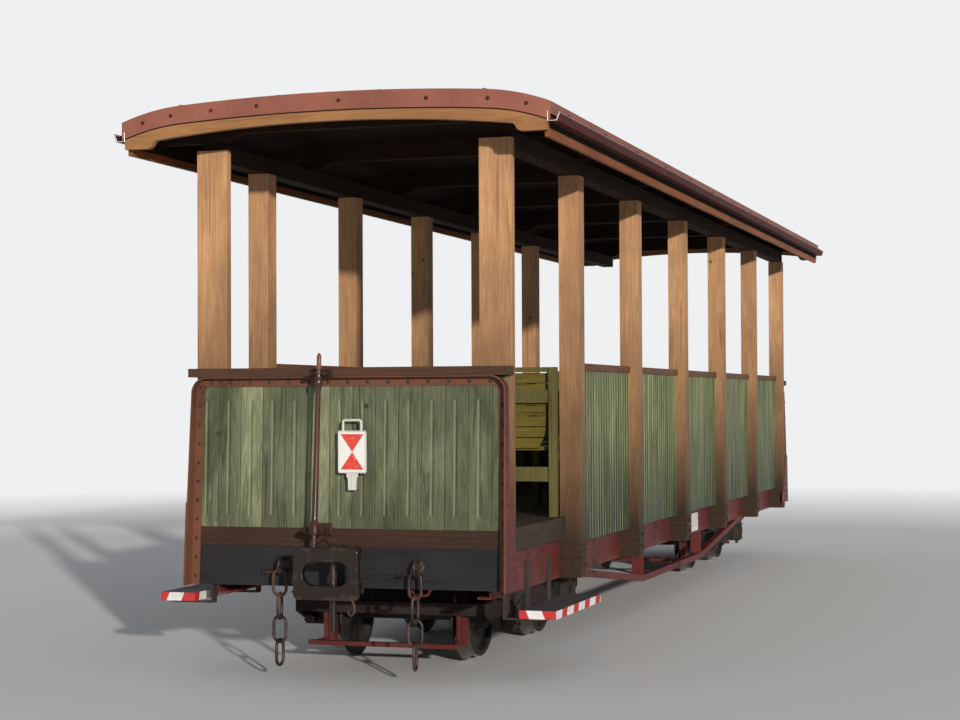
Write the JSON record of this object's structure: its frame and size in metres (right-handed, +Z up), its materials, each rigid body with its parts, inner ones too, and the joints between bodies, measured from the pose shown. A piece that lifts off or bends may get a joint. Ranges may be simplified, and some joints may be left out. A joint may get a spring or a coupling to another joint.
{
  "type": "open-sided narrow-gauge passenger coach",
  "caption": "Open-sided wooden summer coach for a narrow railway, on turning bogies, with boarded half-height walls, cross benches and a curved roof.",
  "frame": {"origin": "middle of the footprint, level with the bottom of the wheel flanges", "axes": "+X across the car to the right, +Y along the car away from the brake end, +Z up"},
  "size_m": [2.6452, 10.48, 3.279],
  "materials": {
    "post_wood": "satin glaze",
    "wall_boards": "satin glaze",
    "floor_wood": "worn",
    "roof_wood": "satin glaze",
    "roof_trim": "satin glaze",
    "roof_metal": "satin",
    "frame_steel": "satin",
    "end_steel": "satin",
    "dark_timber": "matt",
    "bench_wood": "gloss varnish",
    "bench_frame": "satin glaze",
    "draw_gear": "rusty",
    "brake_iron": "satin",
    "step_wood": "painted",
    "step_iron": "satin",
    "bogie_steel": "satin",
    "bogie_iron": "greasy",
    "wheel_steel": "worn",
    "plate_paint": "satin"
  },
  "bodies": {
    "bogie_front": {"axle_boxes_front": "bogie_iron", "bogie_frame_front": "bogie_steel", "brake_beams_front": "bogie_steel", "leaf_springs_front": "bogie_iron"},
    "bogie_rear": {"axle_boxes_rear": "bogie_iron", "bogie_frame_rear": "bogie_steel", "brake_beams_rear": "bogie_steel", "leaf_springs_rear": "bogie_iron"},
    "coach": {"bench_frames": "bench_frame", "bench_legs": "bench_frame", "bench_panels": "bench_wood", "centre_sills": "frame_steel", "coupler_pins": "draw_gear", "couplers": "draw_gear", "cross_frame": "frame_steel", "eave_boards": "roof_trim", "end_arches": "roof_trim", "end_boards_front": "wall_boards", "end_boards_rear": "wall_boards", "end_frame_front": "end_steel", "end_frame_rear": "end_steel", "end_rails_front": "post_wood", "end_rails_rear": "post_wood", "floor_bearers": "floor_wood", "floor_deck": "floor_wood", "gutters": "roof_metal", "hand_brake": "brake_iron", "headstocks": "dark_timber", "marker_plate": "plate_paint", "posts_left": "post_wood", "posts_right": "post_wood", "roof_bows": "roof_wood", "roof_deck": "roof_wood", "roof_flashings": "roof_metal", "roof_sheet": "roof_metal", "safety_chains": "draw_gear", "side_beams": "post_wood", "side_boards_left": "wall_boards", "side_boards_right": "wall_boards", "sills": "frame_steel", "stake_pockets": "post_wood", "step_hangers": "step_iron", "steps": "step_wood", "trusses": "frame_steel", "waist_rails_left": "post_wood", "waist_rails_right": "post_wood", "wall_plates": "roof_wood"},
    "wheelset_1": {"wheelset_1": "wheel_steel"},
    "wheelset_2": {"wheelset_2": "wheel_steel"},
    "wheelset_3": {"wheelset_3": "wheel_steel"},
    "wheelset_4": {"wheelset_4": "wheel_steel"}
  },
  "joints": [
    {"name": "bogie_front_turn", "type": "hinge", "parent": "coach", "child": "bogie_front", "pos_m": [0, -3.19, 0.46], "axis": [0, 0, 1], "range_deg": [-5, 5]},
    {"name": "bogie_rear_turn", "type": "hinge", "parent": "coach", "child": "bogie_rear", "pos_m": [0, 3.19, 0.46], "axis": [0, 0, 1], "range_deg": [-5, 5]},
    {"name": "wheelset_1_roll", "type": "hinge", "parent": "bogie_front", "child": "wheelset_1", "pos_m": [0, -3.84, 0.288], "axis": [1, 0, 0], "continuous": true},
    {"name": "wheelset_2_roll", "type": "hinge", "parent": "bogie_front", "child": "wheelset_2", "pos_m": [0, -2.54, 0.288], "axis": [1, 0, 0], "continuous": true},
    {"name": "wheelset_3_roll", "type": "hinge", "parent": "bogie_rear", "child": "wheelset_3", "pos_m": [0, 2.54, 0.288], "axis": [1, 0, 0], "continuous": true},
    {"name": "wheelset_4_roll", "type": "hinge", "parent": "bogie_rear", "child": "wheelset_4", "pos_m": [0, 3.84, 0.288], "axis": [1, 0, 0], "continuous": true}
  ]
}
